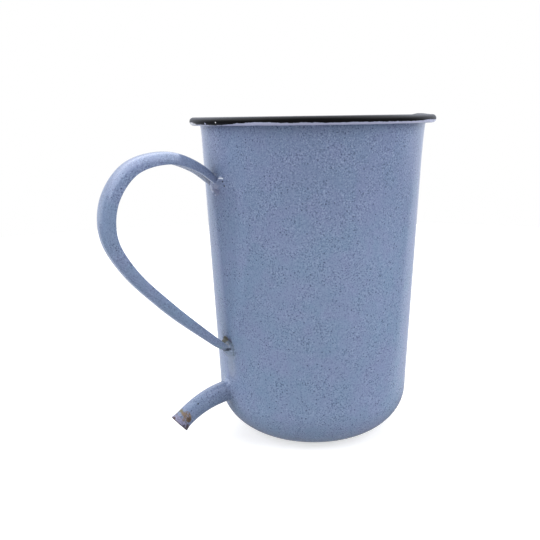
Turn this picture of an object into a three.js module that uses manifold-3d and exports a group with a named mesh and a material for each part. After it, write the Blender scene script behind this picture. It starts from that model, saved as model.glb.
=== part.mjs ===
import * as THREE from 'three';
import { mergeVertices } from 'three/addons/utils/BufferGeometryUtils.js';
import Module from 'manifold-3d';

// Enamelled irrigator: a drawn steel can with a wired rim, a folded strap handle and a bent
// outlet tube low on the wall. Millimetres, Z up. The origin is the middle of the flat base,
// and the handle and the outlet both point along -X.

const wasm = await Module();
wasm.setup();

// Can: one drawn sheet, a little wider at the mouth than at the foot
const canHeight = 187;
const mouthRadius = 64;
const wallLean = 9.1;
const sheet = 1;
const cornerHeight = 26.4;
const baseRadius = 30;
const cornerWallShare = 0.669;
const cornerBaseShare = 0.27;

// Mouth: the wall flares out a touch, then the sheet turns over and curls round a wire
const flare = 0.35;
const flareHeight = 7;
const rimReach = 6;
const rimHeight = 4.6;
const rimSlit = 0.5;

// Lip: a shallow rise of the rim on the side away from the handle, steep at one end and long
// at the other, and pulled outwards where its long end runs out
const lipRise = 0.85;
const lipBearing = -13.5;
const lipSteepReach = 6.5;
const lipLongReach = 13;
const lipPull = 1.1;
const lipPullBearing = -24;
const lipPullReach = 27;

// Running clearance between a piece and whatever it is soldered or curled round
const fitGap = 0.3;

// Handle: a strap folded into a channel that opens towards the can
const strapWidth = 21.6;
const strapDepth = 7;
const strapThickness = 1.1;
const footWidth = 13;
const footDepth = 4.4;
const handleReach = 60.6;
const upperFootDrop = 39;
const lowerFootHeight = 57.9;
const footSink = 4;
const upperWidthShare = 0.35;
const lowerWidthShare = 0.64;
const upperDepthShare = 0.1;
const lowerDepthShare = 0.27;
const lowerEndDepth = 2.6;
const lowerEndShare = 0.07;

// Solder at the handle's feet, heaped higher over the lower one
const upperSolderMargin = 2.2;
const upperSolderRise = 2;
const lowerSolderMargin = 3.4;
const lowerSolderRise = 3.6;

// Outlet: a straight tube, flared at its mouth and then bent downwards
const outletHeight = 31.1;
const outletReach = 32;
const outletDrop = 15.1;
const outletRootRadius = 5.95;
const outletNeckRadius = 5.2;
const outletMouthRadius = 5.85;
const outletWall = 0.9;
const outletRootShare = 0.06;
const outletNeckShare = 0.9;
const outletStraightShare = 0.485;
const outletSink = 6;
const outletSolderRadius = 10;
const outletSolderRise = 3.6;

// How finely the round shapes are cut
const canSides = 60;
const cornerSteps = 8;
const flareSteps = 3;
const turnSteps = 3;
const curlSteps = 8;
const hiddenCurlSteps = 5;
const wireSides = 6;
const strapFolds = 10;
const strapSteps = 44;
const tubeSides = 20;
const tubeSteps = 14;
const solderSides = 16;
const filletSteps = 4;

const enamel = new THREE.MeshStandardMaterial({ color: 0x8796b4, roughness: 0.32, metalness: 0 });
const bareWire = new THREE.MeshStandardMaterial({ color: 0x6d6a66, roughness: 0.5, metalness: 0.9 });
const enamelledSolder = new THREE.MeshStandardMaterial({ color: 0x7d8798, roughness: 0.4, metalness: 0 });

const rimUnderside = canHeight - rimHeight;
const rimMiddle = canHeight - rimHeight / 2;
const rimOuterRadius = mouthRadius + flare + rimReach;
const curlRadius = rimHeight / 2;
const wallFootRadius = mouthRadius - wallLean;
const wireRadius = curlRadius - sheet - fitGap;

// Geometry helpers

function closedSolid(geometry) {
  geometry.deleteAttribute('normal');
  geometry.deleteAttribute('uv');
  const merged = mergeVertices(geometry);
  const index = merged.index.array;
  const corners = [];
  for (let i = 0; i < index.length; i += 3) {
    const [a, b, c] = [index[i], index[i + 1], index[i + 2]];
    if (a !== b && b !== c && c !== a) corners.push(a, b, c);
  }
  const vertProperties = Float32Array.from(merged.attributes.position.array);
  return new wasm.Manifold(new wasm.Mesh({ numProp: 3, vertProperties, triVerts: Uint32Array.from(corners) }));
}

function geometryOf(solid) {
  const mesh = solid.getMesh();
  const geometry = new THREE.BufferGeometry();
  geometry.setAttribute('position', new THREE.BufferAttribute(Float32Array.from(mesh.vertProperties), 3));
  geometry.setIndex(new THREE.BufferAttribute(Uint32Array.from(mesh.triVerts), 1));
  geometry.computeVertexNormals();
  return geometry;
}

// Turns an outline of (radius, height) points round the Z axis
function revolve(outline, sides) {
  return new THREE.LatheGeometry(outline, sides).rotateX(Math.PI / 2);
}

// Carries a shape whose Z runs from 0 to 1 along a curve in the XZ plane: X of the shape stays
// square to that plane, and Y of the shape points to the outside of the bend
function bendAlong(geometry, curve) {
  const across = new THREE.Vector3(0, -1, 0);
  const outward = new THREE.Vector3();
  const position = geometry.attributes.position;
  for (let i = 0; i < position.count; i += 1) {
    const share = THREE.MathUtils.clamp(position.getZ(i), 0, 1);
    const point = curve.getPointAt(share);
    outward.crossVectors(curve.getTangentAt(share), across);
    point.addScaledVector(across, position.getX(i)).addScaledVector(outward, position.getY(i));
    position.setXYZ(i, point.x, point.y, point.z);
  }
  return geometry;
}

function alongMinusX(radius, height) {
  return new THREE.Vector3(-radius, 0, height);
}

// Can

// The rounded bottom corner, from the flat base up to the straight wall
const cornerBottom = new THREE.Vector2(baseRadius, 0);
const cornerTip = new THREE.Vector2(wallFootRadius, 0);
const cornerTop = new THREE.Vector2(wallFootRadius + (wallLean * cornerHeight) / rimUnderside, cornerHeight);
const cornerCurve = new THREE.CubicBezierCurve(
  cornerBottom,
  cornerBottom.clone().lerp(cornerTip, cornerBaseShare),
  cornerTop.clone().lerp(cornerTip, cornerWallShare),
  cornerTop,
);

function wallRadius(height) {
  if (height >= cornerHeight) return wallFootRadius + (wallLean * height) / rimUnderside;
  let [low, high] = [0, 1];
  while (high - low > Number.EPSILON) {
    const middle = (low + high) / 2;
    if (middle === low || middle === high) break;
    if (cornerCurve.getPoint(middle).y < height) low = middle;
    else high = middle;
  }
  return cornerCurve.getPoint(low).x;
}

// Base, corner and wall as seen from outside, moved outwards by an offset (inwards if negative)
function wallOutline(offset) {
  const outline = [new THREE.Vector2(0, -offset)];
  for (let i = 0; i <= cornerSteps; i += 1) {
    const share = i / cornerSteps;
    const tangent = cornerCurve.getTangent(share);
    const normal = new THREE.Vector2(tangent.y, -tangent.x);
    outline.push(cornerCurve.getPoint(share).addScaledVector(normal, offset));
  }
  for (let i = 0; i <= flareSteps; i += 1) {
    const share = i / flareSteps;
    const height = rimUnderside - flareHeight * (1 - share);
    outline.push(new THREE.Vector2(wallRadius(height) + flare * share * share + offset, height));
  }
  return outline;
}

// One face of the rim's sheet: out over the rim, round the curl and back towards the wall.
// Side is 1 for the face that shows and -1 for the face round the wire
function rimOutline(side) {
  const turnRadius = curlRadius - sheet / 2;
  const faceRadius = turnRadius + (side * sheet) / 2;
  const wallMiddle = mouthRadius + flare - sheet / 2;
  const turnCentre = wallMiddle + turnRadius;
  const curlCentre = rimOuterRadius - curlRadius;
  const steps = side > 0 ? curlSteps : hiddenCurlSteps;
  const outline = [];
  for (let i = 0; i <= turnSteps; i += 1) {
    const angle = Math.PI - ((Math.PI / 2) * i) / turnSteps;
    outline.push([turnCentre, angle]);
  }
  for (let i = 0; i <= steps; i += 1) {
    const angle = Math.PI / 2 - (Math.PI * i) / steps;
    outline.push([curlCentre, angle]);
  }
  const points = outline.map(([centre, angle]) => new THREE.Vector2(
    centre + faceRadius * Math.cos(angle),
    rimMiddle + faceRadius * Math.sin(angle),
  ));
  points.push(new THREE.Vector2(mouthRadius + flare + rimSlit, rimMiddle - faceRadius));
  return points;
}

// How much of a swelling of the rim is left at an angle away from its middle
function lipShare(angle, reach) {
  const distance = Math.abs(angle) * rimOuterRadius;
  return distance < reach ? Math.cos(((Math.PI / 2) * distance) / reach) ** 2 : 0;
}

// Raises and draws out the rim over the lip
function pullLip(geometry) {
  const position = geometry.attributes.position;
  for (let i = 0; i < position.count; i += 1) {
    const point = new THREE.Vector3().fromBufferAttribute(position, i);
    const bearing = Math.atan2(point.y, point.x);
    const climb = THREE.MathUtils.smoothstep(point.z, rimUnderside - flareHeight, rimUnderside);
    if (climb === 0) continue;
    const fromPeak = bearing - THREE.MathUtils.degToRad(lipBearing);
    const fromPull = bearing - THREE.MathUtils.degToRad(lipPullBearing);
    const rise = lipRise * climb * lipShare(fromPeak, fromPeak > 0 ? lipSteepReach : lipLongReach);
    const spread = 1 + (lipPull * climb * lipShare(fromPull, lipPullReach)) / Math.hypot(point.x, point.y);
    position.setXYZ(i, point.x * spread, point.y * spread, point.z + rise);
  }
  return geometry;
}

// The can as a filled body, used to trim what is soldered to it
function filledCan(offset) {
  const outline = wallOutline(offset);
  outline.push(new THREE.Vector2(0, rimUnderside));
  return closedSolid(revolve(outline, canSides));
}

function canSolid() {
  const outline = [
    ...wallOutline(0),
    ...rimOutline(-1),
    ...rimOutline(1).reverse(),
    ...wallOutline(-sheet).reverse(),
  ];
  return closedSolid(pullLip(revolve(outline, canSides)));
}

function rimWireGeometry() {
  const ring = new THREE.TorusGeometry(rimOuterRadius - curlRadius, wireRadius, wireSides, canSides);
  return pullLip(ring.translate(0, 0, rimMiddle));
}

// Handle

// The line of the channel's open edges, from the upper foot over the top to the lower foot:
// shares of the handle's reach out from the wall, and of the height between its feet
const handleRouteShares = [
  [0, 1],
  [0.179, 1.095],
  [0.445, 1.158],
  [0.749, 1.118],
  [0.949, 0.965],
  [0.987, 0.77],
  [0.856, 0.581],
  [0.545, 0.345],
  [0, 0],
];
const footSlopeShare = 0.95;

function handleRoute() {
  const upperFootHeight = canHeight - upperFootDrop;
  const span = upperFootHeight - lowerFootHeight;
  const points = handleRouteShares.map(([out, up]) => {
    const height = lowerFootHeight + span * up;
    return alongMinusX(wallRadius(height) + handleReach * out, height);
  });
  const fall = footSink * footSlopeShare;
  const upperEnd = upperFootHeight - fall;
  const lowerEnd = lowerFootHeight - fall;
  points.unshift(alongMinusX(wallRadius(upperEnd) - footSink, upperEnd));
  points.push(alongMinusX(wallRadius(lowerEnd) - footSink, lowerEnd));
  return new THREE.CatmullRomCurve3(points);
}

// A size that grows from its value at the feet to its full value over the given end shares
function swell(atFoot, full, share, upperEnd, lowerEnd) {
  const upper = THREE.MathUtils.smoothstep(share, 0, upperEnd);
  const lower = THREE.MathUtils.smoothstep(1 - share, 0, lowerEnd);
  return THREE.MathUtils.lerp(atFoot, full, upper * lower);
}

// A flat strip folded across its width and tapered towards both feet. Growth thickens it on
// every side, for trimming the solder round it
function strapSolid(growth) {
  const strip = new THREE.BoxGeometry(1, 1, 1, strapFolds, 1, strapSteps);
  const position = strip.attributes.position;
  for (let i = 0; i < position.count; i += 1) {
    const fold = position.getX(i) * Math.PI;
    const share = position.getZ(i) + 1 / 2;
    const halfWidth = swell(footWidth, strapWidth, share, upperWidthShare, lowerWidthShare) / 2;
    const flattened = 1 - THREE.MathUtils.smoothstep(1 - share, 0, lowerEndShare);
    const folded = swell(footDepth, strapDepth, share, upperDepthShare, lowerDepthShare);
    const depth = THREE.MathUtils.lerp(folded, lowerEndDepth, flattened);
    const face = new THREE.Vector2(halfWidth * Math.sin(fold), depth * Math.cos(fold));
    const normal = new THREE.Vector2(Math.sin(fold) / halfWidth, Math.cos(fold) / depth).normalize();
    face.addScaledVector(normal, position.getY(i) > 0 ? growth : -strapThickness - growth);
    const isEdge = Math.abs(position.getX(i)) === 1 / 2;
    position.setXYZ(i, face.x, face.y - (isEdge ? growth : 0), share);
  }
  return closedSolid(bendAlong(strip, handleRoute()));
}

// A low mound of solder over a foot of the handle
function footSolder(height, rise, margin, trims) {
  const mound = new THREE.SphereGeometry(1, solderSides, solderSides / 2);
  mound.scale(rise, footWidth / 2 + margin, footDepth / 2 + margin);
  mound.translate(-wallRadius(height), 0, height);
  return trims.reduce((solid, trim) => solid.subtract(trim), closedSolid(mound));
}

// Outlet

function outletRoute() {
  const wallAt = wallRadius(outletHeight);
  const rootEnd = wallAt - outletSink;
  const mouth = wallAt + outletReach;
  const knee = wallAt + outletReach * outletStraightShare;
  return new THREE.QuadraticBezierCurve3(
    alongMinusX(rootEnd, outletHeight),
    alongMinusX(knee, outletHeight),
    alongMinusX(mouth, outletHeight - outletDrop),
  );
}

function outletRadius(share) {
  if (share > outletNeckShare) {
    const flareShare = (share - outletNeckShare) / (1 - outletNeckShare);
    return THREE.MathUtils.lerp(outletNeckRadius, outletMouthRadius, flareShare ** 2);
  }
  const taper = THREE.MathUtils.smoothstep(share, outletRootShare, outletNeckShare);
  return THREE.MathUtils.lerp(outletRootRadius, outletNeckRadius, taper);
}

// The tube as it is before bending, its length running from 0 to 1
function straightTube(outside, inside) {
  const shares = [];
  for (let i = 0; i <= tubeSteps; i += 1) shares.push((outletNeckShare * i) / tubeSteps);
  shares.push((outletNeckShare + 1) / 2, 1);
  const outer = shares.map((share) => new THREE.Vector2(outletRadius(share) + outside, share));
  if (inside === null) {
    return revolve([new THREE.Vector2(0, 0), ...outer, new THREE.Vector2(0, 1)], tubeSides);
  }
  const inner = shares.map((share) => new THREE.Vector2(outletRadius(share) - inside, share)).reverse();
  return revolve([...outer, ...inner, outer[0]], tubeSides);
}

function outletSolder(trims) {
  const wallAt = wallRadius(outletHeight);
  const outline = [new THREE.Vector2(0, -outletSink)];
  outline.push(new THREE.Vector2(outletSolderRadius, -outletSink));
  for (let i = 0; i <= filletSteps; i += 1) {
    const angle = ((Math.PI / 2) * i) / filletSteps;
    const radius = THREE.MathUtils.lerp(outletSolderRadius, outletRootRadius, Math.sin(angle));
    outline.push(new THREE.Vector2(radius, outletSolderRise * (1 - Math.cos(angle))));
  }
  outline.push(new THREE.Vector2(0, outletSolderRise));
  const fillet = revolve(outline, tubeSides).rotateY(-Math.PI / 2).translate(-wallAt, 0, outletHeight);
  return trims.reduce((solid, trim) => solid.subtract(trim), closedSolid(fillet));
}

// Assembly

const trimCan = filledCan(fitGap);
const cavity = closedSolid(revolve([...wallOutline(-sheet), new THREE.Vector2(0, rimUnderside)], canSides));
const route = outletRoute();
const tubeTrim = closedSolid(bendAlong(straightTube(fitGap, null), route));
const strapTrim = strapSolid(fitGap);
const upperFootHeight = canHeight - upperFootDrop;

const irrigator = new THREE.Group();

function addPiece(name, geometry, material) {
  const mesh = new THREE.Mesh(geometry, material);
  mesh.name = name;
  irrigator.add(mesh);
}

addPiece('can', geometryOf(canSolid().subtract(tubeTrim)), enamel);
addPiece('rim_wire', rimWireGeometry(), bareWire);
addPiece('handle', geometryOf(strapSolid(0).subtract(trimCan)), enamel);
addPiece('upper_handle_solder', geometryOf(
  footSolder(upperFootHeight + footDepth / 2, upperSolderRise, upperSolderMargin, [trimCan, strapTrim]),
), enamelledSolder);
addPiece('lower_handle_solder', geometryOf(
  footSolder(lowerFootHeight - footDepth / 2, lowerSolderRise, lowerSolderMargin, [trimCan, strapTrim]),
), enamelledSolder);
addPiece('outlet_tube', geometryOf(
  closedSolid(bendAlong(straightTube(0, outletWall), route)).subtract(cavity),
), enamel);
addPiece('outlet_solder', geometryOf(outletSolder([trimCan, tubeTrim])), enamelledSolder);

export default irrigator;
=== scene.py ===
import math

import bpy
from mathutils import Matrix, Vector


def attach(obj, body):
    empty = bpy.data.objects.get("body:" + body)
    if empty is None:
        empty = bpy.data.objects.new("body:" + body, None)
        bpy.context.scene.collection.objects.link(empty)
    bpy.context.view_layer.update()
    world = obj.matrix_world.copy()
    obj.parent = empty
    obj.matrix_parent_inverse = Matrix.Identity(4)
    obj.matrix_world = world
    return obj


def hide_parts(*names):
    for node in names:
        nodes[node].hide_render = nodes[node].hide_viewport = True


# Enamel irrigator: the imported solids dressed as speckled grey-blue enamelware.
# Sizes are in millimetres in the dictionaries, but for the studio's, and in metres in the meshes.
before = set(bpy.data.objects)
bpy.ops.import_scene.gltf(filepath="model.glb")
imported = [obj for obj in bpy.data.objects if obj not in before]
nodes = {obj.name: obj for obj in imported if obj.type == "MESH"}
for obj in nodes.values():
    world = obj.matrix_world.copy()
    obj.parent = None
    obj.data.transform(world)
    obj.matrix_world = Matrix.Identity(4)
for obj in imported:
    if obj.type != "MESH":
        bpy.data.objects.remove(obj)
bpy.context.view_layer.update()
mm = 0.001
weldGap = 0.002 * mm  # spun vertices closer than this are one


def put(x, y, z):
    # a place or a step given in millimetres
    return Vector((x * mm, y * mm, z * mm))


def deselectAll():
    if bpy.context.object and bpy.context.object.mode != "OBJECT":
        bpy.ops.object.mode_set(mode="OBJECT")
    bpy.ops.object.select_all(action="DESELECT")


def choose(piece):
    deselectAll()
    piece.select_set(True)
    bpy.context.view_layer.objects.active = piece


def editAll(piece):
    choose(piece)
    bpy.ops.object.mode_set(mode="EDIT")
    bpy.ops.mesh.select_all(action="SELECT")


def pick(piece, test):
    # leaves the piece in edit mode with only the vertices that pass the test selected
    choose(piece)
    bpy.ops.object.mode_set(mode="EDIT")
    bpy.ops.mesh.select_mode(type="VERT")
    bpy.ops.mesh.select_all(action="DESELECT")
    bpy.ops.object.mode_set(mode="OBJECT")
    found = 0
    for vertex in piece.data.vertices:
        vertex.select = bool(test(vertex.co / mm))
        found += vertex.select
    bpy.ops.object.mode_set(mode="EDIT")
    return found


def addModifier(piece, kind, settings):
    modifier = piece.modifiers.new(kind.title(), kind)
    for key, value in settings.items():
        setattr(modifier, key, value)
    choose(piece)
    bpy.ops.object.modifier_apply(modifier=modifier.name)


def moveSoftly(step, reach):
    # moves what is selected, and what lies within reach of it less and less
    bpy.ops.transform.translate(
        value=step, use_proportional_edit=True, proportional_edit_falloff="SMOOTH",
        proportional_size=reach * mm,
    )


def drawOutline(name, points):
    # one vertex drawn on along (x, z) points
    deselectAll()
    bpy.ops.mesh.primitive_plane_add(size=mm)
    piece = bpy.context.object
    piece.name = piece.data.name = name
    bpy.ops.object.mode_set(mode="EDIT")
    bpy.ops.mesh.select_all(action="SELECT")
    bpy.ops.mesh.merge(type="CENTER")
    bpy.ops.transform.translate(value=put(points[0][0], 0, points[0][1]))
    for here, there in zip(points, points[1:]):
        step = put(there[0] - here[0], 0, there[1] - here[1])
        bpy.ops.mesh.extrude_region_move(TRANSFORM_OT_translate={"value": step})
    bpy.ops.object.mode_set(mode="OBJECT")
    return piece


def spinRound(piece, steps):
    editAll(piece)
    bpy.ops.mesh.spin(steps=steps, angle=2 * math.pi, center=(0, 0, 0), axis=(0, 0, 1))
    bpy.ops.mesh.select_all(action="SELECT")
    bpy.ops.mesh.remove_doubles(threshold=weldGap)
    bpy.ops.mesh.normals_make_consistent(inside=False)
    bpy.ops.object.mode_set(mode="OBJECT")


def faceOut(piece, axis, sign):
    # an open sheet's faces all turned the same way, towards that side of the axis
    editAll(piece)
    bpy.ops.mesh.normals_make_consistent(inside=False)
    bpy.ops.object.mode_set(mode="OBJECT")
    if sum(getattr(face.normal, axis) * face.area for face in piece.data.polygons) * sign < 0:
        editAll(piece)
        bpy.ops.mesh.flip_normals()
        bpy.ops.object.mode_set(mode="OBJECT")


def smoothOff(piece, degrees):
    choose(piece)
    bpy.ops.object.shade_smooth_by_angle(angle=math.radians(degrees))


def mix(a, b, share):
    return a + (b - a) * share


def smoothStep(value, low, high):
    # 0 below low, 1 above high, smooth between
    share = min(max((value - low) / (high - low), 0), 1)
    return share * share * (3 - 2 * share)


# Camera: the photograph's viewing angle, before anything else
view = {
    "place": (-231.3, -385.0, 186.8), "turn": -27.77, "tilt": 11.40, "roll": -0.82,
    "lens": 50.67, "film": 36, "nearest": 10,
}
deselectAll()
bpy.ops.object.camera_add()
camera = bpy.context.object
camera.name = "studioCamera"
camera.matrix_world = (
    Matrix.Translation(put(*view["place"]))
    @ Matrix.Rotation(math.radians(view["turn"]), 4, "Z")
    @ Matrix.Rotation(math.radians(90 - view["tilt"]), 4, "X")
    @ Matrix.Rotation(math.radians(view["roll"]), 4, "Z")
)
camera.data.lens = view["lens"]
camera.data.sensor_width = view["film"]
camera.data.clip_start = view["nearest"] * mm
bpy.context.scene.camera = camera
print("camera placed")


# Can: one sheet from the middle of the base up the wall, round the curl and back down inside
can = {
    "height": 187, "mouthRadius": 64, "lean": 9.1, "sheet": 1,
    "cornerHeight": 26.4, "baseRadius": 30, "cornerWallShare": 0.669, "cornerBaseShare": 0.27,
    "flare": 0.35, "flareHeight": 7, "rimReach": 6, "rimHeight": 4.6, "slit": 0.3, "outletHeight": 31.1,
    # the lip: bearing, reach, rise and pull outwards of each push at the rim
    "lip": [(-13.5, 6.5, 0.35, 0), (-17, 10.8, 0.36, 0), (-24, 27, 0, 1.1)], "lipTurn": 1.05, "lipDepth": 0.1,
    "baseRows": 6, "cornerRows": 26, "wallRows": 26, "flareRows": 6, "sides": 180,
    # rows over the turn and round the curl on each face, then the angles round the sheet's edge
    "insideRows": (5, 10), "outsideRows": (8, 18), "edgeTurns": (45, 0, -45), "smoothUnder": 50,
}
rimUnderside = can["height"] - can["rimHeight"]
rimMiddle = can["height"] - can["rimHeight"] / 2
rimOuter = can["mouthRadius"] + can["flare"] + can["rimReach"]
wallFoot = can["mouthRadius"] - can["lean"]
halfSheet = can["sheet"] / 2
slitRadius = can["mouthRadius"] + can["flare"] + can["slit"] + halfSheet


def wallRadius(height):
    # the straight part of the wall, above the rounded corner
    return wallFoot + can["lean"] * height / rimUnderside


def cornerPoints(offset):
    # a Bezier curve from the base to the wall, moved outwards by the offset
    top = (wallRadius(can["cornerHeight"]), can["cornerHeight"])
    wallShare = can["cornerWallShare"]
    ends = [
        (can["baseRadius"], 0),
        (mix(can["baseRadius"], wallFoot, can["cornerBaseShare"]), 0),
        (mix(top[0], wallFoot, wallShare), mix(top[1], 0, wallShare)),
        top,
    ]
    points = []
    for row in range(can["cornerRows"] + 1):
        t = row / can["cornerRows"]
        weights = ((1 - t) ** 3, 3 * t * (1 - t) ** 2, 3 * t * t * (1 - t), t ** 3)
        slopes = (-3 * (1 - t) ** 2, 3 * (1 - t) * (1 - 3 * t), 3 * t * (2 - 3 * t), 3 * t * t)
        x, z = (sum(w * end[axis] for w, end in zip(weights, ends)) for axis in (0, 1))
        dx, dz = (sum(s * end[axis] for s, end in zip(slopes, ends)) for axis in (0, 1))
        length = math.hypot(dx, dz)
        points.append((x + offset * dz / length, z - offset * dx / length))
    return points


def wallPoints(offset):
    points = [(can["baseRadius"] * row / can["baseRows"], -offset) for row in range(can["baseRows"])]
    points += cornerPoints(offset)
    flareFrom = rimUnderside - can["flareHeight"]
    for row in range(1, can["wallRows"]):
        height = mix(can["cornerHeight"], flareFrom, row / can["wallRows"])
        points.append((wallRadius(height) + offset, height))
    for row in range(can["flareRows"] + 1):
        share = row / can["flareRows"]
        height = mix(flareFrom, rimUnderside, share)
        points.append((wallRadius(height) + can["flare"] * share * share + offset, height))
    return points


def rimPoints(side, turnRows, curlRows):
    # side 1 is the face that shows, -1 the face round the wire
    curl = can["rimHeight"] / 2
    face = curl - halfSheet + side * halfSheet
    turnCentre = can["mouthRadius"] + can["flare"] - can["sheet"] + curl
    curlCentre = rimOuter - curl
    turns = [(turnCentre, math.pi - math.pi / 2 * row / turnRows) for row in range(turnRows + 1)]
    turns += [(curlCentre, math.pi / 2 - math.pi * row / curlRows) for row in range(curlRows + 1)]
    points = [
        (centre + face * math.cos(angle), rimMiddle + face * math.sin(angle)) for centre, angle in turns
    ]
    return points + [((curlCentre + slitRadius) / 2, rimMiddle - face), (slitRadius, rimMiddle - face)]


def slitEdge():
    # the sheet's rounded edge, where the curl ends beside the wall
    return [
        (slitRadius - halfSheet * math.cos(angle), rimUnderside + halfSheet + halfSheet * math.sin(angle))
        for angle in map(math.radians, can["edgeTurns"])
    ]


canOutline = wallPoints(0) + rimPoints(-1, *can["insideRows"]) + slitEdge()
canOutline += rimPoints(1, *can["outsideRows"])[::-1] + wallPoints(-can["sheet"])[::-1]
canPiece = drawOutline("enamelled_can", canOutline)
spinRound(canPiece, can["sides"])

for bearing, reach, rise, pull in can["lip"]:
    lipTurn = math.radians(bearing)
    lipWay = Vector((math.cos(lipTurn), math.sin(lipTurn), 0))

    def onLip(co):
        turn = abs(math.atan2(co.y, co.x) - lipTurn)
        return co.z > rimUnderside - can["lipDepth"] and turn < math.radians(can["lipTurn"])

    pick(canPiece, onLip)
    moveSoftly((lipWay * pull + Vector((0, 0, rise))) * mm, reach)
    bpy.ops.object.mode_set(mode="OBJECT")
print("can drawn and spun:", len(canPiece.data.vertices), "vertices")


# Solder: a patch laid on the wall and raised ring by ring, then pushed about as it ran
solder = {
    "sheet": 0.4, "rings": 26, "spokes": 96, "standOff": 30, "smoothUnder": 60, "pickSlack": 0.01,
    "moundPower": 1.6, "sunk": 0.2,
    # place and half size are across and up the wall, and a push is across, up, outwards and reach
    "upper": {"place": (-2.0, 150.8), "half": (11.0, 6.8), "rise": 2.0, "pushes": [
        (-8.4, 154.2, 0.7, 2.6), (-10.2, 150.0, 0.35, 2.0), (7.6, 153.6, 0.5, 2.6), (0.2, 145.4, 0.5, 1.6),
        (-9.9, 152.9, -0.45, 0.8), (-11.0, 150.6, -0.4, 0.8), (-5.0, 147.2, 0.4, 2.0),
        (9.3, 149.0, -0.3, 1.5), (-6.6, 150.6, 1.9, 2.8), (-3.6, 149.6, 1.3, 2.6), (-7.3, 152.5, 1.7, 2.2),
    ]},
    "lower": {"place": (-0.6, 56.6), "half": (10.5, 5.7), "rise": 2.7, "pushes": [
        (-5.0, 59.6, 3.2, 3.2), (-2.4, 57.6, 1.6, 2.6), (-7.6, 59.8, 0.9, 1.3), (-9.0, 58.6, 0.9, 1.2),
        (-9.7, 57.0, 0.9, 1.2), (-9.6, 55.4, 0.8, 1.2), (-8.8, 54.0, 0.4, 1.2),
        (-7.6, 57.2, -1.5, 1.3), (-5.4, 56.9, -1.2, 1.2), (-6.4, 54.9, 0.4, 1.3), (-3.0, 54.6, 0.3, 1.8),
        (6.5, 58.0, 0.5, 2.2), (5.0, 54.0, 0.3, 1.8),
    ]},
    "outlet": {
        "place": (0, can["outletHeight"]), "half": (10.4, 10.4), "rise": 3.6, "inner": 5.55,
        "flatFrom": 0.97, "sunkFrom": 0.99, "pushes": [
            (-7.6, 37.0, 0.25, 2.4), (6.6, 36.4, 0.2, 2.2), (-7.8, 27.0, 0.2, 2.4), (7.0, 25.8, 0.25, 2.0),
        ],
    },
}


def layOnWall(name, facts, riseAt):
    across, up = facts["place"]
    inner = facts.get("inner", 0) / facts["half"][0]
    rings = [mix(inner, 1, ring / solder["rings"]) for ring in range(solder["rings"] + 1)]
    piece = drawOutline(name, [(share / mm, 0) for share in rings])
    spinRound(piece, solder["spokes"])
    piece.scale = (facts["half"][1] * mm, facts["half"][0] * mm, 1)
    piece.rotation_euler = (0, -math.pi / 2, 0)
    piece.location = put(-(can["mouthRadius"] + solder["standOff"]), across, up)
    bpy.ops.object.transform_apply(location=True, rotation=True, scale=True)
    addModifier(piece, "SHRINKWRAP", {
        "target": canPiece, "wrap_method": "PROJECT", "use_project_x": True,
        "use_positive_direction": True, "use_negative_direction": False,
    })

    def shareOut(co):
        return math.hypot((co.y - across) / facts["half"][0], (co.z - up) / facts["half"][1])

    halfRing = (rings[1] - rings[0]) / 2
    for share in rings:
        if pick(piece, lambda co: abs(shareOut(co) - share) < halfRing):
            bpy.ops.transform.translate(value=put(-riseAt(share), 0, 0))
    for y, z, out, reach in facts["pushes"]:
        nearest = min(math.hypot(v.co.y / mm - y, v.co.z / mm - z) for v in piece.data.vertices)
        pick(piece, lambda co: math.hypot(co.y - y, co.z - z) < nearest + solder["pickSlack"])
        moveSoftly(put(-out, 0, 0), reach)
    faceOut(piece, "x", -1)
    addModifier(piece, "SOLIDIFY", {
        "thickness": solder["sheet"] * mm, "offset": -1, "use_even_offset": False,
    })
    smoothOff(piece, solder["smoothUnder"])
    return piece


def moundRise(rise):
    # highest in the middle, with the outermost ring sunk into the wall
    sunk, power = solder["sunk"], solder["moundPower"]
    return lambda share: (rise + sunk) * (1 - share * share) ** power - sunk


def filletRise(share):
    # flat against the wall at the outside, along the tube at the inside
    facts = solder["outlet"]
    inner = facts["inner"] / facts["half"][0]
    out = min(max((share - inner) / (facts["flatFrom"] - inner), 0), 1)
    sunk = solder["sunk"] if share > facts["sunkFrom"] else 0
    return facts["rise"] * (1 - math.sqrt(1 - (1 - out) ** 2)) - sunk


upperSolder = layOnWall("upper_foot_solder", solder["upper"], moundRise(solder["upper"]["rise"]))
lowerSolder = layOnWall("lower_foot_solder", solder["lower"], moundRise(solder["lower"]["rise"]))
outletSolder = layOnWall("outlet_root_solder", solder["outlet"], filletRise)
print("solder laid at the feet and the outlet")


# Outlet tube: spun straight, then bent along its route
outlet = {
    "reach": 32, "drop": 15.1, "straightShare": 0.485, "sink": 6,
    "rootRadius": 5.95, "neckRadius": 5.2, "mouthRadius": 5.9, "wall": 0.9,
    "rootShare": 0.06, "neckShare": 0.895, "flarePower": 1.7, "start": 5.1, "rows": 40, "sides": 64,
    "edgeTurns": (30, 60, 90, 120, 150), "smoothUnder": 50, "holeGap": 0.3, "holeDepth": 12,
}
routeSteps = 32
outletWallAt = wallRadius(can["outletHeight"])


def outletRadius(share):
    if share > outlet["neckShare"]:
        flareShare = (share - outlet["neckShare"]) / (1 - outlet["neckShare"])
        return mix(outlet["neckRadius"], outlet["mouthRadius"], flareShare ** outlet["flarePower"])
    taper = smoothStep(share, outlet["rootShare"], outlet["neckShare"])
    return mix(outlet["rootRadius"], outlet["neckRadius"], taper)


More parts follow.
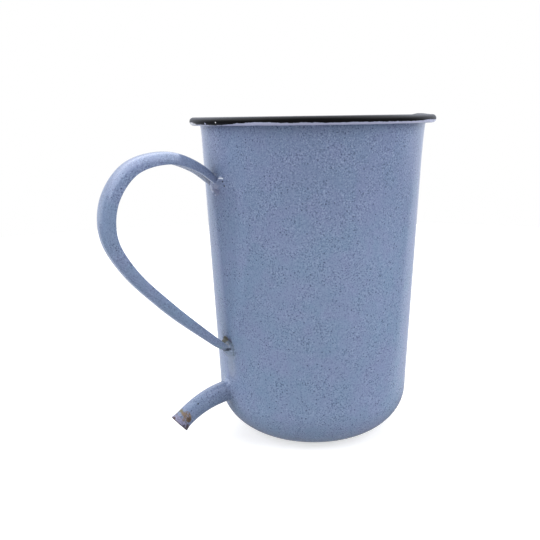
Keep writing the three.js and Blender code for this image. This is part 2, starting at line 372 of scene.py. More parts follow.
def drawRoute(name, stops):
    # a flat Bezier curve through (left handle, point, right handle), each an (x, z) pair
    deselectAll()
    bpy.ops.curve.primitive_bezier_curve_add()
    route = bpy.context.object
    route.name = name
    route.data.dimensions = "2D"
    route.data.resolution_u = routeSteps
    spline = route.data.splines[0]
    spline.bezier_points.add(len(stops) - len(spline.bezier_points))
    for point, (left, place, right) in zip(spline.bezier_points, stops):
        point.handle_left_type = point.handle_right_type = "FREE"
        point.handle_left = put(left[0], left[1], 0)
        point.co = put(place[0], place[1], 0)
        point.handle_right = put(right[0], right[1], 0)
    bpy.context.view_layer.update()
    return route, spline.calc_length() / mm


def bendAlong(piece, route):
    # the route lies flat, so the bent piece is then stood up
    addModifier(piece, "CURVE", {"object": route, "deform_axis": "POS_X"})
    choose(piece)
    piece.rotation_euler = (math.pi / 2, 0, 0)
    bpy.ops.object.transform_apply(location=True, rotation=True, scale=True)
    bpy.data.objects.remove(route)


rootEnd = (-(outletWallAt - outlet["sink"]), can["outletHeight"])
knee = (-(outletWallAt + outlet["reach"] * outlet["straightShare"]), can["outletHeight"])
mouth = (-(outletWallAt + outlet["reach"]), can["outletHeight"] - outlet["drop"])
toKnee = 2 / 3  # handles this far towards the knee make the bend a parabola
rootHandle = tuple(mix(a, b, toKnee) for a, b in zip(rootEnd, knee))
mouthHandle = tuple(mix(a, b, toKnee) for a, b in zip(mouth, knee))
outletRoute, outletLength = drawRoute("outletRoute", [
    (rootEnd, rootEnd, rootHandle), (mouthHandle, mouth, mouth),
])

outerLine = []
for row in range(outlet["rows"] + 1):
    along = mix(outlet["start"], outletLength, row / outlet["rows"])
    outerLine.append((outletRadius(along / outletLength), along))
half = outlet["wall"] / 2
mouthEdge = [
    (outerLine[-1][0] - half + half * math.cos(angle), outletLength - half + half * math.sin(angle))
    for angle in map(math.radians, outlet["edgeTurns"])
]
outerLine = [(radius, along) for radius, along in outerLine if along < outletLength - half]
innerLine = [(radius - outlet["wall"], along) for radius, along in outerLine]
outletOutline = outerLine + mouthEdge + innerLine[::-1] + outerLine[:1]
outletPiece = drawOutline("enamelled_outlet_tube", outletOutline)
spinRound(outletPiece, outlet["sides"])
outletPiece.rotation_euler = (0, math.pi / 2, 0)
bpy.ops.object.transform_apply(location=True, rotation=True, scale=True)
bendAlong(outletPiece, outletRoute)
smoothOff(outletPiece, outlet["smoothUnder"])

# the hole in the can's wall
holeRadius = outletRadius(outlet["rootShare"]) + outlet["holeGap"]
deselectAll()
bpy.ops.mesh.primitive_cylinder_add(
    vertices=outlet["sides"], radius=holeRadius * mm, depth=outlet["holeDepth"] * mm,
    location=put(-outletWallAt, 0, can["outletHeight"]), rotation=(0, math.pi / 2, 0),
)
drill = bpy.context.object
addModifier(canPiece, "BOOLEAN", {"object": drill, "operation": "DIFFERENCE", "solver": "EXACT"})
bpy.data.objects.remove(drill)
smoothOff(canPiece, can["smoothUnder"])
print("outlet bent, length", round(outletLength, 2), "mm")


# Handle: a rounded channel, narrower towards both feet, bent along its route and cut at the upper foot
handle = {
    "width": 20, "depth": 6.4, "fullness": 2.7, "thickness": 1.1, "footWidth": 13, "footDepth": 4.4,
    "upperFoot": 149.6, "lowerFoot": 57.9, "reach": 60.5,
    # both ends sink into the wall, falling this much for each millimetre of it
    "sink": 4, "upperFall": 0.55, "lowerFall": 0.95,
    # the route from the upper foot round to the lower, in shares of the reach and of the feet's distance
    "route": [
        (0, 1), (0.179, 1.091), (0.445, 1.148), (0.755, 1.104), (0.949, 0.948),
        (0.987, 0.757), (0.856, 0.571), (0.545, 0.339), (0, 0),
    ],
    "upperWidthShare": 0.25, "lowerWidthShare": 0.64, "upperDepthShare": 0.2, "lowerDepthShare": 0.27,
    "lowerEndDepth": 2.6, "lowerEndShare": 0.07, "footCut": 0.55, "rows": 130, "folds": 24,
    "edge": 1.7, "edgeFrom": 0.93, "edgeRound": 0.6, "edgeSteps": 3, "edgeAngle": 60, "smoothUnder": 50,
}


def handleStops():
    # a smooth curve through the route's points, each with its Bezier handles
    span = handle["upperFoot"] - handle["lowerFoot"]
    points = []
    for out, up in handle["route"]:
        height = handle["lowerFoot"] + span * up
        points.append(Vector((-(wallRadius(height) + handle["reach"] * out), height)))
    upperEnd = handle["upperFoot"] - handle["sink"] * handle["upperFall"]
    lowerEnd = handle["lowerFoot"] - handle["sink"] * handle["lowerFall"]
    for where, height in ((0, upperEnd), (len(points) + 1, lowerEnd)):
        points.insert(where, Vector((-(wallRadius(height) - handle["sink"]), height)))
    gaps = [math.sqrt((b - a).length) for a, b in zip(points, points[1:])]
    ends = [points[0] * 2 - points[1]] + points + [points[-1] * 2 - points[-2]]
    gaps = gaps[:1] + gaps + gaps[-1:]
    stops = []
    for i, point in enumerate(points):
        before, after = ends[i], ends[i + 2]
        gapIn, gapOut = gaps[i], gaps[i + 1]
        slope = (point - before) / gapIn - (after - before) / (gapIn + gapOut) + (after - point) / gapOut
        stops.append((point - slope * gapIn / 3, point, point + slope * gapOut / 3))
    return stops


def swell(size, share):
    # the width or depth grows from the upper foot on and shrinks again towards the lower
    grown = smoothStep(share, 0, handle["upper%sShare" % size])
    shrunk = smoothStep(1 - share, 0, handle["lower%sShare" % size])
    return mix(handle["foot" + size], handle[size.lower()], grown * shrunk)


handleRoute, handleLength = drawRoute("handleRoute", handleStops())
strapSection = []
for fold in range(handle["folds"] + 1):
    turn = math.pi * fold / handle["folds"]
    out, across = (abs(part) ** (2 / handle["fullness"]) for part in (math.sin(turn), math.cos(turn)))
    side = math.copysign(handle["footWidth"] / 2, math.cos(turn))
    strapSection.append((-out * handle["footDepth"], across * side))
handlePiece = drawOutline("enamelled_handle", strapSection)
handlePiece.rotation_euler = (0, 0, math.pi / 2)
bpy.ops.object.transform_apply(location=True, rotation=True, scale=True)
editAll(handlePiece)
widthNow, depthNow = handle["footWidth"], handle["footDepth"]
for row in range(1, handle["rows"] + 1):
    share = row / handle["rows"]
    width = swell("Width", share)
    flatness = 1 - smoothStep(1 - share, 0, handle["lowerEndShare"])
    depth = mix(swell("Depth", share), handle["lowerEndDepth"], flatness)
    step = put(handleLength / handle["rows"], 0, 0)
    bpy.ops.mesh.extrude_region_move(TRANSFORM_OT_translate={"value": step})
    bpy.ops.transform.resize(
        value=(1, depth / depthNow, width / widthNow), center_override=put(handleLength * share, 0, 0)
    )
    widthNow, depthNow = width, depth
bpy.ops.object.mode_set(mode="OBJECT")
faceOut(handlePiece, "y", -1)
edges = handlePiece.vertex_groups.new(name="edges")
rowWidths = {}
for vertex in handlePiece.data.vertices:
    row = round(vertex.co.x / mm, 2)
    rowWidths[row] = max(rowWidths.get(row, 0), abs(vertex.co.z))
for vertex in handlePiece.data.vertices:
    side = abs(vertex.co.z) / rowWidths[round(vertex.co.x / mm, 2)]
    edges.add([vertex.index], smoothStep(side, handle["edgeFrom"], 1), "REPLACE")
bendAlong(handlePiece, handleRoute)
for slot in ("outside", "inside", "edge"):  # slots that Solidify gives out and dress fills
    handlePiece.data.materials.append(None)
addModifier(handlePiece, "SOLIDIFY", {
    "thickness": handle["edge"] * mm, "offset": -1, "use_even_offset": True, "use_quality_normals": True,
    "vertex_group": "edges", "thickness_vertex_group": handle["thickness"] / handle["edge"],
    "material_offset": 1, "material_offset_rim": 2,
})
addModifier(handlePiece, "BEVEL", {
    "width": handle["edgeRound"] * mm, "segments": handle["edgeSteps"],
    "limit_method": "ANGLE", "angle_limit": math.radians(handle["edgeAngle"]),
})
editAll(handlePiece)
bpy.ops.mesh.bisect(
    plane_co=put(-(wallRadius(handle["upperFoot"]) - handle["footCut"]), 0, handle["upperFoot"]),
    plane_no=(-1, 0, -can["lean"] / rimUnderside), use_fill=True, clear_inner=True,
)
bpy.ops.object.mode_set(mode="OBJECT")
smoothOff(handlePiece, handle["smoothUnder"])
print("handle bent, length", round(handleLength, 2), "mm")


# Finishes
class Value:
    # a socket that takes part in ordinary sums: each sum adds its own Math node
    def __init__(self, finish, socket):
        self.finish = finish
        self.socket = socket

    def maths(self, operation, *values):
        return self.finish.node("ShaderNodeMath", {"operation": operation}, *values)

    def __add__(self, other):
        return self.maths("ADD", self, other)

    def __radd__(self, other):
        return self.maths("ADD", other, self)

    def __sub__(self, other):
        return self.maths("SUBTRACT", self, other)

    def __rsub__(self, other):
        return self.maths("SUBTRACT", other, self)

    def __mul__(self, other):
        return self.maths("MULTIPLY", self, other)

    def __rmul__(self, other):
        return self.maths("MULTIPLY", other, self)

    def __truediv__(self, other):
        return self.maths("DIVIDE", self, other)

    def __rtruediv__(self, other):
        return self.maths("DIVIDE", other, self)

    def __gt__(self, other):
        return self.maths("GREATER_THAN", self, other)

    def __lt__(self, other):
        return self.maths("LESS_THAN", self, other)

    def __abs__(self):
        return self.maths("ABSOLUTE", self)

    def most(self, other):
        return self.maths("MAXIMUM", self, other)

    def between(self, start, full):
        # 0 at the start, 1 where it is full and smooth between, upwards or downwards
        return self.finish.node(
            "ShaderNodeMapRange", {"interpolation_type": "SMOOTHSTEP"}, self, start, full, 0.0, 1.0
        )


class Finish:
    # the nodes of one material, or of the world
    def __init__(self, owner, coordinates="Object"):
        self.owner = owner
        owner.use_nodes = True
        self.tree = owner.node_tree
        self.tree.nodes.clear()
        self.place = self.node("ShaderNodeTexCoord", {}, output=coordinates)

    def node(self, kind, settings, *values, output=0, **named):
        # sockets take values or links, in their order or by name with _ for a space
        made = self.tree.nodes.new(kind)
        for key, value in settings.items():
            setattr(made, key, value)
        pairs = list(zip([socket for socket in made.inputs if socket.enabled], values))
        pairs += [(made.inputs[key.replace("_", " ")], value) for key, value in named.items()]
        for socket, value in pairs:
            if isinstance(value, Value):
                self.tree.links.new(value.socket, socket)
            else:
                socket.default_value = value
        return Value(self, made.outputs[output]) if made.outputs else None

    def split(self, vector, axis):
        return self.node("ShaderNodeSeparateXYZ", {}, vector, output=axis)

    def coordinate(self, axis):
        # x, y or z in millimetres
        return self.split(self.place, axis) / mm

    def noise(self, size, detail, rough, output=0):
        # size of the pattern in millimetres
        return self.node(
            "ShaderNodeTexNoise", {}, Vector=self.place, Scale=1 / (size * mm), Detail=detail,
            Roughness=rough, output=output,
        )

    def patches(self, size, detail, rough, start, full):
        # a noise cut into patches, from the level where they start to the one where they are full
        return self.noise(size, detail, rough).between(start, full)

    def waves(self, *layers):
        # noises laid over each other, each as high as its last number says
        return sum(self.noise(size, detail, rough) * height for size, detail, rough, height in layers)

    def vector(self, operation, *values, output=0, **named):
        return self.node("ShaderNodeVectorMath", {"operation": operation}, *values, output=output, **named)

    def along(self, vector, way):
        # how far a vector reaches in a direction
        return self.vector("DOT_PRODUCT", vector, way, output="Value")

    def shifted(self, amount, size, detail=2.0, rough=0.6):
        # the place moved about by a noise, so that a pattern's edge wanders
        middle = (0.5, 0.5, 0.5)
        wander = self.vector("SUBTRACT", self.noise(size, detail, rough, output="Color"), middle)
        wander = self.vector("SCALE", wander, Scale=amount * mm)
        return self.vector("ADD", self.place, wander)

    def near(self, centre, where=None, stretch=(1, 1, 1)):
        # distance in millimetres from a point, shorter along a stretched axis
        apart = self.vector("SUBTRACT", where or self.place, put(*centre))
        apart = self.vector("MULTIPLY", apart, tuple(1 / (share * mm) for share in stretch))
        return self.vector("LENGTH", apart, output="Value")

    def mixColour(self, share, a, b):
        return self.node("ShaderNodeMix", {"data_type": "RGBA"}, share, a, b, output="Result")

    def bump(self, height, depth=1):
        # a height in millimetres, or in as many as depth says
        return self.node("ShaderNodeBump", {}, Height=height, Distance=depth * mm, Strength=1.0)

    def close(self, colour, roughness, normal, metallic=0.0, **constants):
        shader = self.node(
            "ShaderNodeBsdfPrincipled", {}, Base_Color=colour, Roughness=roughness, Metallic=metallic,
            Normal=normal, **constants,
        )
        self.node("ShaderNodeOutputMaterial", {}, shader)
        return self.owner


def linear(red, green, blue):
    # a screen colour as light, for levels from 11 to 255
    return tuple(((level / 255 + 0.055) / 1.055) ** 2.4 for level in (red, green, blue)) + (1.0,)


# In the looks below a noise is a size, a detail and a roughness, patches add the levels where they
# start and are full, and waves add a height. Other pairs are also where something starts and is full.
enamelLook = {
    "teal": (119, 140, 169), "lilac": (125, 138, 171), "clouds": (17, 3.0, 0.6, 0.36, 0.66),
    "blue": (122, 139, 169), "drift": (7, 2.0, 0.5, 0.4, 0.7), "driftShare": 0.6,
    # painted shade: the wall's colour darkens towards the rim, where the curl's shadow falls
    "rimShadeColour": (106, 117, 148), "rimShadeHeights": (105, 165), "rimShadeShare": 0.42,
    "grain": (0.8, 3.0, 0.65), "calm": (11, 3.0, 0.6, 0.38, 0.6), "calmest": 0.5,
    "pale": (150, 165, 194), "paleGrain": (0.52, 0.7), "paleShare": 0.84,
    "dark": (62, 70, 98), "darkGrain": (0.49, 0.32), "darkShare": 0.74,
    "speckGap": 2.1, "speckEdge": (0.26, 0.12), "speckChance": 0.76, "speckShare": 0.75,
    "roughness": 0.12, "roughWaves": (7, 2.0, 0.5, 0.08),
    "ripple": (9, 2.0, 0.5), "dimples": (1.4, 2.0, 0.5, 0.006),
}


def speckled(finish, tint=None, amount=0.0):
    # cloudy ground, grain finer than a millimetre and scattered dark specks
    look = enamelLook
    colour = finish.mixColour(finish.patches(*look["clouds"]), linear(*look["teal"]), linear(*look["lilac"]))
    drift = finish.patches(*look["drift"]) * look["driftShare"]
    colour = finish.mixColour(drift, colour, linear(*look["blue"]))
    # painted shade under the curl: darker towards the top of the wall
    paintedRimShade = finish.coordinate(2).between(*look["rimShadeHeights"]) * look["rimShadeShare"]
    colour = finish.mixColour(paintedRimShade, colour, linear(*look["rimShadeColour"]))
    if tint:
        colour = finish.mixColour(amount, colour, linear(*tint))
    grain = finish.noise(*look["grain"])
    calm = mix(look["calmest"], 1, finish.patches(*look["calm"]))
    paleGrain = grain.between(*look["paleGrain"]) * calm * look["paleShare"]
    colour = finish.mixColour(paleGrain, colour, linear(*look["pale"]))
    darkGrain = grain.between(*look["darkGrain"]) * calm * look["darkShare"]
    colour = finish.mixColour(darkGrain, colour, linear(*look["dark"]))
    cells = {"Vector": finish.place, "Scale": 1 / (look["speckGap"] * mm)}
    apart = finish.node("ShaderNodeTexVoronoi", {"feature": "F1"}, output="Distance", **cells)
    chance = finish.split(finish.node("ShaderNodeTexVoronoi", {"feature": "F1"}, output="Color", **cells), 0)
    specks = apart.between(*look["speckEdge"]) * (chance > look["speckChance"])
    return finish.mixColour(specks * look["speckShare"], colour, linear(*look["dark"]))


rimLook = {
    "below": 0.3, "inside": 1.2,  # how far under the curl and inside the mouth this enamel goes
    "black": (13, 13, 14), "thickness": 0.05, "rougher": 0.24, "softness": (-0.12, 0.12),
    "lowerEdge": 183.35, "ragged": [(5.5, 3.0, 0.6, 1.2), (1.1, 2.0, 0.5, 0.5)],
    # where round the rim the black's lower edge lies higher or lower, and by how much
    "course": [
        {"by": -0.75, "x": [(-40, -55)], "y": [(-42, -27), (50, 20)]},
        {"by": -0.8, "x": [(-40, -55)], "y": [(-25, -19), (50, 20)]},
        {"by": 0.45, "x": [(-40, -55)], "y": [(-15, -2), (50, 20)]},
        {"by": -0.55, "x": [], "y": [(-60, -68)]},
        {"by": 0.9, "x": [], "y": [(22, 34)]},
        {"by": -0.5, "x": [(-18, -30), (-56, -48)], "y": [(-35, -45)]},
    ],
    "notch": (-69.79, -6.75, 183.6), "notchStretch": (1, 1.2, 0.7), "notchEdge": (0.5, 0.9),
    "thin": (178, 180, 206), "thinUnder": (-1.9, -1.2), "thinFoot": (182.2, 182.45),
    "thinBack": (20, 30), "thinFront": 0.75,
    "worn": (3.2, 3.0, 0.7, 0.72, 0.8), "wornAbove": (1.1, 0.2), "wornShare": 0.4,
    # painted glint: a tiny near-white spot on the black enamel
    "glint": (-68.2, -16.9, 184.2), "glintEdge": (0.5, 0.28), "glintColour": (226, 226, 232),
}


def blackRim(finish, colour):
    # black enamel over the curl with a ragged lower edge, a thin pale strip under it and a painted glint on
    # the black
    look = rimLook
    x, y, z = (finish.coordinate(axis) for axis in range(3))
    edge = finish.waves(*look["ragged"]) + look["lowerEdge"]
    for change in look["course"]:
        rise = change["by"]
        for place, stretches in ((x, change["x"]), (y, change["y"])):
            for stretch in stretches:
                rise = rise * place.between(*stretch)
        edge = edge + rise
    above = z - edge
    notch = finish.near(look["notch"], stretch=look["notchStretch"]).between(*look["notchEdge"])
    black = above.between(*look["softness"]) * notch
    thin = above.between(*look["thinUnder"]) * z.between(*look["thinFoot"]) * (1 - black)
    thin = thin * mix(look["thinFront"], 1, y.between(*look["thinBack"]))
    worn = finish.patches(*look["worn"]) * above.between(*look["wornAbove"]) * black * look["wornShare"]
    colour = finish.mixColour(thin, colour, linear(*look["thin"]))
    colour = finish.mixColour(black, colour, linear(*look["black"]))
    colour = finish.mixColour(worn, colour, linear(*enamelLook["pale"]))
    # painted glint on the black
    glint = finish.near(look["glint"]).between(*look["glintEdge"])
    return finish.mixColour(glint, colour, linear(*look["glintColour"])), black


# Each mark has a place, a size, two colours and how far its edge wanders, and may set these
# for itself, down to holed. Lengths are in millimetres, and core is the share of full strength.
# some marks are painted light: shade under the feet, glints and a reflection, made rougher and sunk like the
# real stains and chips
markLook = {
    "stretch": (1, 1, 1), "grain": 1.3, "core": 0.78, "strength": 1.0,
    "mottled": (0.7, 3.0, 0.6, 0.35, 0.65), "aboveFade": 1.6, "holed": (3.0, 0.6, 0.4, 0.5),
    "depth": 0.14, "rougher": 0.5, "pits": (0.6, 3.0, 0.6, 0.12),
}


def marked(finish, colour, marks):
    # a ring shows only the edge of its mark, and holes let the enamel show through
    depth = None
    for facts in marks:
        mark = {**markLook, **facts}
        apart = finish.near(mark["place"], finish.shifted(mark["wander"], mark["grain"]), mark["stretch"])
        marksAndPaintedLight = apart.between(mark["size"], mark["size"] * mark["core"])
        if "ring" in mark:
            apart = apart - mark["size"]
            marksAndPaintedLight = (apart * apart).between(mark["ring"] ** 2, 0)
        if "above" in mark:
            marksAndPaintedLight = marksAndPaintedLight * finish.coordinate(2).between(mark["above"], mark["above"] + mark["aboveFade"])
        if "holes" in mark:
            marksAndPaintedLight = marksAndPaintedLight * finish.patches(mark["holes"], *mark["holed"])
        marksAndPaintedLight = marksAndPaintedLight * mark["strength"]
        mottled = finish.patches(*mark["mottled"])
        patch = finish.mixColour(mottled, linear(*mark["colour"]), linear(*mark["other"]))
        colour = finish.mixColour(marksAndPaintedLight, colour, patch)
        depth = depth.most(marksAndPaintedLight) if depth else marksAndPaintedLight
    return colour, depth


mouthLook = {
    "grazed": (134, 132, 158), "grime": (94, 90, 108), "grimePatches": (0.8, 3.0, 0.65, 0.42, 0.66),
    "wander": [(3.4, 3.0, 0.6, 2.4), (0.9, 2.0, 0.6, 0.7)], "grazedUpTo": (1.95, 1.45), "grazedShare": 0.9,
    "seam": (92, 82, 76), "seamPatches": (2.6, 2.0, 0.5, 0.44, 0.58),
    "seamFrom": (1.3, 1.6), "seamUpTo": (2.3, 1.9), "seamShare": 0.8,
    "bare": (74, 62, 62), "bareWander": (1.1, 2.0, 0.6, 0.8), "bareUpTo": (0.35, -0.1), "bareShare": 0.85,
    "depth": 0.1, "rougher": 0.4,
}


def mouthWear(finish, colour):
    # the flare is grazed to a lilac grey, with brown where the enamel stops and a dark bare edge
    look = mouthLook
    wayBack = put(knee[0] - mouth[0], 0, knee[1] - mouth[1]).normalized()
    back = finish.along(finish.vector("SUBTRACT", finish.place, put(mouth[0], 0, mouth[1])), wayBack) / mm
    past = back - finish.waves(*look["wander"])
    grazed = past.between(*look["grazedUpTo"]) * look["grazedShare"]
    grime = finish.patches(*look["grimePatches"])
    colour = finish.mixColour(
        grazed, colour, finish.mixColour(grime, linear(*look["grazed"]), linear(*look["grime"]))
    )
    seam = past.between(*look["seamUpTo"]) * past.between(*look["seamFrom"])
    seam = seam * finish.patches(*look["seamPatches"])
    colour = finish.mixColour(seam * look["seamShare"], colour, linear(*look["seam"]))
    bare = (back - finish.waves(look["bareWander"])).between(*look["bareUpTo"])
    colour = finish.mixColour(bare * look["bareShare"], colour, linear(*look["bare"]))
    return colour, bare.most(seam)


def enamel(
    name, ripple, marks, rim=False, mouthWorn=False, tint=None, amount=0.0, gloss=0.5, sheen=(1, 1, 1, 1)
):
    finish = Finish(bpy.data.materials.new(name))
    look = enamelLook
    colour = speckled(finish, tint, amount)
    roughness = finish.waves(look["roughWaves"]) + look["roughness"]
    height = finish.waves((*look["ripple"], ripple), look["dimples"])
    if rim:
        colour, black = blackRim(finish, colour)
        roughness = roughness + black * rimLook["rougher"]
        height = height + black * rimLook["thickness"]
    if mouthWorn:
        colour, worn = mouthWear(finish, colour)
        roughness = roughness + worn * mouthLook["rougher"]
        height = height - worn * mouthLook["depth"]
    # the marks hold painted shade, glints and a reflection as well as stains and chips
    colour, marksAndPaintedLight = marked(finish, colour, marks)
    roughness = roughness + marksAndPaintedLight * markLook["rougher"]
    height = height - marksAndPaintedLight * markLook["depth"] + marksAndPaintedLight * finish.waves(markLook["pits"])
    return finish.close(
        colour, roughness, finish.bump(height), Specular_IOR_Level=gloss, Specular_Tint=sheen
    )


darkFleck = {"colour": (50, 55, 72), "other": (40, 44, 58), "wander": 0.4}
upperMarksShadeAndGlint = [
    # painted shade: a dark patch under the upper foot, on the can and the solder
    {"place": (-63.4, -3.6, 147.4), "size": 2.6, "stretch": (1.4, 1.5, 1.1), "wander": 2.4, "strength": 0.7,
     "colour": (96, 102, 134), "other": (108, 112, 142)},
    {"place": (-64.8, -5.2, 150.6), "size": 2.8, "stretch": (2.0, 1.5, 0.8), "wander": 1.8, "core": 0.4,
     "strength": 0.75, "colour": (160, 166, 190), "other": (142, 150, 178)},
    {"place": (-62.1, -0.2, 144.9), "size": 0.7, "stretch": (1.4, 2.2, 0.7), "wander": 0.8, "strength": 0.8,
     "colour": (170, 174, 200), "other": (150, 156, 184)},
    # painted glint: a near-white highlight on the upper solder's shoulder
    {"place": (-62.0, -8.5, 154.6), "size": 0.85, "stretch": (2.0, 2.7, 0.52), "wander": 0.5,
     "colour": (222, 228, 238), "other": (204, 212, 226)},
    {"place": (-61.66, -9.9, 152.96), "size": 0.72, **darkFleck},
    {"place": (-61.36, -11.04, 150.6), "size": 0.66, **darkFleck},
]
lowerMarksAndShade = [
    {"place": (-58.4, -5.2, 55.6), "size": 8.2, "stretch": (2.0, 1.0, 1.0), "wander": 2.0, "core": 0.3,
     "strength": 0.4, "colour": (130, 144, 160), "other": (136, 148, 164)},
    {"place": (-58.6, -4.6, 46.5), "size": 12, "stretch": (2.0, 0.6, 1.0), "wander": 2.4, "core": 0.15,
     "strength": 0.42, "colour": (146, 156, 170), "other": (140, 152, 168)},
    {"place": (-59.8, 0.0, 61.0), "size": 3.2, "stretch": (1.6, 1.7, 1.0), "wander": 3.2, "grain": 2.0,
     "colour": (104, 102, 84), "other": (86, 86, 76)},
    # painted shadow: a dark purple patch on the wall beside the lower strap end
    {"place": (-58.6, -5.2, 61.6), "size": 1.9, "stretch": (1.4, 1.4, 1.2), "wander": 2.0, "strength": 0.85,
     "colour": (84, 88, 106), "other": (92, 96, 122)},
]
# painted shade: dark lines in the gap under the lower strap's end
footGapShade = [
    {"place": (-60.4, -7.3, 57.5), "size": 0.95, "stretch": (3.0, 1.8, 0.8), "wander": 0.6,
     "colour": (42, 50, 62), "other": (32, 38, 48)},
    {"place": (-60.8, -5.0, 56.7), "size": 0.8, "stretch": (4.0, 2.8, 0.6), "wander": 0.6,
     "colour": (66, 76, 90), "other": (54, 62, 76)},
]
# painted reflection: a near-white band along the curl's lower edge at its left end, standing in for the white
# floor seen in the gloss
rimPaintedReflection = [
    {"place": (-67.3, 17.4, 183.2), "size": 12.5, "stretch": (1, 1, 0.1), "wander": 0.9,
     "colour": (222, 224, 232), "other": (204, 206, 218)},
]
handleMarks = [
    {"place": (-65.14, -5.32, 155.53), "size": 0.42, **darkFleck},
    {"place": (-63.4, -4.77, 58.99), "size": 1.1, "wander": 0.8,
     "colour": (112, 150, 152), "other": (112, 140, 150)},
]
solderMarks = [
    {"place": (-58.2, -5.0, 57.0), "size": 4.4, "stretch": (5.0, 1.0, 1.0), "wander": 0.7, "ring": 0.8,
     "above": 53.0, "strength": 0.75, "colour": (66, 86, 98), "other": (84, 102, 114)},
    {"place": (-60.8, -5.0, 59.8), "size": 1.7, "stretch": (2.0, 1.5, 1.0), "wander": 0.9, "strength": 0.8,
     "colour": (144, 150, 160), "other": (126, 134, 146)},
]
outletMarks = [
    {"place": (-85.6, -4.3, 21.3), "size": 2.7, "stretch": (1.3, 1.2, 1.15), "wander": 2.6, "grain": 2.0,
     "holes": 1.5, "colour": (128, 112, 102), "other": (98, 86, 80)},
    {"place": (-84.3, -5.2, 19.3), "size": 1.8, "stretch": (1, 1, 1.3), "wander": 1.8, "core": 0.5,
     "colour": (74, 62, 54), "other": (96, 80, 68)},
    {"place": (-86.9, -2.4, 22.8), "size": 1.3, "stretch": (1, 1.8, 1.2), "wander": 2.0, "core": 0.5,
     "colour": (112, 100, 90), "other": (126, 112, 96)},
    {"place": (-87.2, -0.3, 23.9), "size": 1.5, "stretch": (1, 1.6, 1), "wander": 1.8, "core": 0.5,
     "colour": (122, 118, 96), "other": (106, 104, 92)},
    {"place": (-85.5, -4.9, 15.3), "size": 1.7, "stretch": (1, 1.2, 1.5), "wander": 1.2, "core": 0.5,
     "colour": (84, 76, 84), "other": (70, 62, 66)},
    {"place": (-91.9, -1.1, 20.6), "size": 1.3, "stretch": (1, 1.4, 1), "wander": 0.8, "core": 0.5,
     "colour": (92, 80, 82), "other": (74, 64, 66)},
    {"place": (-87.7, -5.6, 16.7), "size": 0.8, "wander": 0.8, "colour": (82, 80, 92), "other": (64, 62, 72)},
    {"place": (-78.04, -4.15, 27.58), "size": 0.5, **darkFleck},
]
canEnamel = enamel("can_enamel", 0.05, upperMarksShadeAndGlint + lowerMarksAndShade)
rimEnamel = enamel("rim_enamel", 0.05, rimPaintedReflection, rim=True, gloss=0.18, sheen=(1.0, 0.97, 0.86, 1))
handleEnamel = enamel("handle_enamel", 0.04, lowerMarksAndShade + footGapShade + handleMarks)
# painted light: the channel's inner faces get a paler copy of the enamel, standing in for light from the
# floor
handleInsidePaintedLight = enamel("handle_inside_painted_light_enamel", 0.05, lowerMarksAndShade, tint=(220, 226, 240), amount=0.85)
# the strap's cut edges get a paler copy of the enamel: partly thin worn enamel, partly a painted highlight
# along them
handleEdgeWearAndHighlight = enamel("handle_edge_wear_and_highlight_enamel", 0.03, lowerMarksAndShade, tint=(176, 190, 212), amount=0.75)
solderEnamel = enamel("solder_enamel", 0.1, upperMarksShadeAndGlint + lowerMarksAndShade + footGapShade + solderMarks)
outletEnamel = enamel(
    "outlet_enamel", 0.04, outletMarks, mouthWorn=True, tint=(106, 118, 144), amount=0.5, gloss=0.3
)

wireLook = {
    "light": (150, 148, 144), "dark": (112, 108, 102), "grain": (0.5, 3.0, 0.6), "depth": 0.02,
    "rust": (122, 88, 60), "spots": (3, 3.0, 0.7, 0.6, 0.75), "rustRougher": 0.3, "rustDuller": 0.8,
    "roughness": 0.42,
}


def steel(name):
    finish = Finish(bpy.data.materials.new(name))
    look = wireLook
    grain = finish.noise(*look["grain"])
    spots = finish.patches(*look["spots"])
    colour = finish.mixColour(grain, linear(*look["light"]), linear(*look["dark"]))
    colour = finish.mixColour(spots, colour, linear(*look["rust"]))
    roughness = spots * look["rustRougher"] + look["roughness"]
    return finish.close(colour, roughness, finish.bump(grain, look["depth"]), 1 - spots * look["rustDuller"])


wireSteel = steel("rim_wire_steel")
print("finishes made")


def dress(piece, materials, node):
    while len(piece.data.materials) < len(materials):
        piece.data.materials.append(None)
    for place, material in enumerate(materials):
        piece.data.materials[place] = material
    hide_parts(node)
    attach(piece, "root")


dress(canPiece, [canEnamel, rimEnamel], "can")
for face in canPiece.data.polygons:
    middle = face.center / mm
    highEnough = middle.z > rimUnderside - rimLook["below"]
    farOut = math.hypot(middle.x, middle.y) > can["mouthRadius"] - rimLook["inside"]
    face.material_index = int(highEnough and farOut)
dress(handlePiece, [handleEnamel, handleInsidePaintedLight, handleEdgeWearAndHighlight], "handle")
dress(outletPiece, [outletEnamel], "outlet_tube")
dress(upperSolder, [solderEnamel], "upper_handle_solder")
dress(lowerSolder, [solderEnamel], "lower_handle_solder")
dress(outletSolder, [solderEnamel], "outlet_solder")
# the wire stays as it was packed, hidden in the curl
nodes["rim_wire"].data.materials.clear()
nodes["rim_wire"].data.materials.append(wireSteel)
print("pieces dressed")


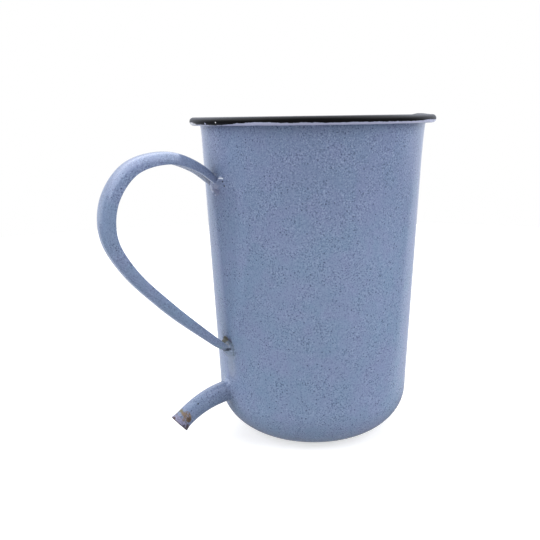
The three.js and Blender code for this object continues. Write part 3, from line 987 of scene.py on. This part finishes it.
# Studio: pale floor, white surroundings, a soft lamp overhead and one on each side.
# Its sizes are in metres, its turns are from the bearing of the camera, and its front is that side.
studio = {
    "around": 0.38, "glossTint": (0.9, 0.95, 1.1, 1),
    "floor": {
        "radius": 0.9, "sides": 96, "drop": 0.0002, "inset": 0.45, "cameraLift": 0.62,
        "paper": (0.62, 0.62, 0.62, 1), "palePaper": (0.64, 0.64, 0.64, 1), "fibre": (2.2, 3.0, 0.6),
        "edgeTurn": 40, "edge": (0.117, 0.062), "shadeReach": (0.06, 0.13), "shade": 0.4,
    },
    # how bright gloss sees the room, towards the front, the back, both sides and overhead
    "gloss": {
        "front": 0.1, "back": 0.8, "backTo": (-0.62, -0.73),
        "wide": 0.9, "wideTo": (-0.15, -0.4), "wideUp": (-0.18, -0.05),
        "over": 3.0, "overTo": (0.65, 0.3), "overUp": (0.2, 0.6),
    },
    "lampAim": 0.1,
    "lamps": [
        {"turn": -66, "height": 30, "away": 2.0, "size": (2.0, 1.6), "power": 33.4},
        {"turn": 70, "height": 30, "away": 2.0, "size": (2.0, 1.6), "power": 35.6},
        {"turn": 180, "height": 80, "away": 2.0, "size": (2.6, 2.6), "power": 29},
    ],
}
white = (1, 1, 1, 1)
frontBearing = math.atan2(view["place"][1], view["place"][0])
frontWay = (math.cos(frontBearing), math.sin(frontBearing), 0)
sideWay = (-math.sin(frontBearing), math.cos(frontBearing), 0)


def raysOf(finish):
    # 1 where the camera looks straight at it, and 1 where it is seen in a gloss
    straight, glossy, through = (
        finish.node("ShaderNodeLightPath", {}, output="Is %s Ray" % kind)
        for kind in ("Camera", "Glossy", "Transmission")
    )
    return straight, glossy.most(through)


floorFacts = studio["floor"]
deselectAll()
bpy.ops.mesh.primitive_circle_add(
    vertices=floorFacts["sides"], radius=floorFacts["radius"], fill_type="NGON",
    location=(0, 0, -floorFacts["drop"]),
)
floor = bpy.context.object
floor.name = "studio_floor"
bpy.ops.object.mode_set(mode="EDIT")
bpy.ops.mesh.select_all(action="SELECT")
bpy.ops.mesh.inset(thickness=floorFacts["inset"])
bpy.ops.object.mode_set(mode="OBJECT")
paper = Finish(bpy.data.materials.new("studio_paper"))
paperColour = paper.mixColour(paper.noise(*floorFacts["fibre"]), floorFacts["paper"], floorFacts["palePaper"])
straight, inGloss = raysOf(paper)
lift = paper.node("ShaderNodeEmission", {}, white, straight * floorFacts["cameraLift"])
plain = paper.node("ShaderNodeAddShader", {}, paper.node("ShaderNodeBsdfDiffuse", {}, paperColour), lift)
# gloss sees the floor dark in front, up to 90 degrees and edgeTurn to each side, and pale behind
edgeTurn = math.radians(floorFacts["edgeTurn"])
forward = paper.along(paper.place, frontWay)
sideways = abs(paper.along(paper.place, sideWay))
behind = (forward * math.cos(edgeTurn) + sideways * math.sin(edgeTurn)).between(*floorFacts["edge"])
level = mix(studio["gloss"]["front"], studio["gloss"]["back"], behind)
reach = paper.vector("LENGTH", paper.place, output="Value").between(*floorFacts["shadeReach"])
level = level * mix(floorFacts["shade"], 1, reach)
glossy = paper.node("ShaderNodeEmission", {}, studio["glossTint"], level)
paper.node("ShaderNodeOutputMaterial", {}, paper.node("ShaderNodeMixShader", {}, inGloss, plain, glossy))
floor.data.materials.append(paper.owner)

world = bpy.data.worlds.new("studio_world")
bpy.context.scene.world = world
room = Finish(world, "Generated")
straight, inGloss = raysOf(room)
gloss = studio["gloss"]
toFront = room.along(room.place, frontWay)
up = room.split(room.place, 2)
# the camera sees a white room, and gloss sees it dark in front, pale behind and bright overhead
level = mix(gloss["front"], gloss["back"], toFront.between(*gloss["backTo"]))
level = mix(level, gloss["wide"], toFront.between(*gloss["wideTo"]) * up.between(*gloss["wideUp"]))
level = mix(level, gloss["over"], toFront.between(*gloss["overTo"]) * up.between(*gloss["overUp"]))
plain = room.node("ShaderNodeBackground", {}, white, studio["around"])
tint = room.mixColour(straight, studio["glossTint"], white)
seen = room.node("ShaderNodeBackground", {}, tint, mix(level, 1, straight))
room.node(
    "ShaderNodeOutputWorld", {}, room.node("ShaderNodeMixShader", {}, straight.most(inGloss), plain, seen)
)

for number, facts in enumerate(studio["lamps"]):
    bearing = frontBearing + math.radians(facts["turn"])
    height = math.radians(facts["height"])
    away = facts["away"] * Vector((
        math.cos(bearing) * math.cos(height), math.sin(bearing) * math.cos(height), math.sin(height)
    ))
    deselectAll()
    bpy.ops.object.light_add(type="AREA", location=away + Vector((0, 0, studio["lampAim"])))
    lamp = bpy.context.object
    lamp.name = "soft_lamp_%d" % number
    lamp.rotation_euler = away.to_track_quat("Z", "Y").to_euler()
    lamp.data.shape = "RECTANGLE"
    lamp.data.size, lamp.data.size_y = facts["size"]
    lamp.data.energy = facts["power"]
    lamp.visible_glossy = False
bpy.context.scene.view_settings.view_transform = "Standard"
print("studio lit")
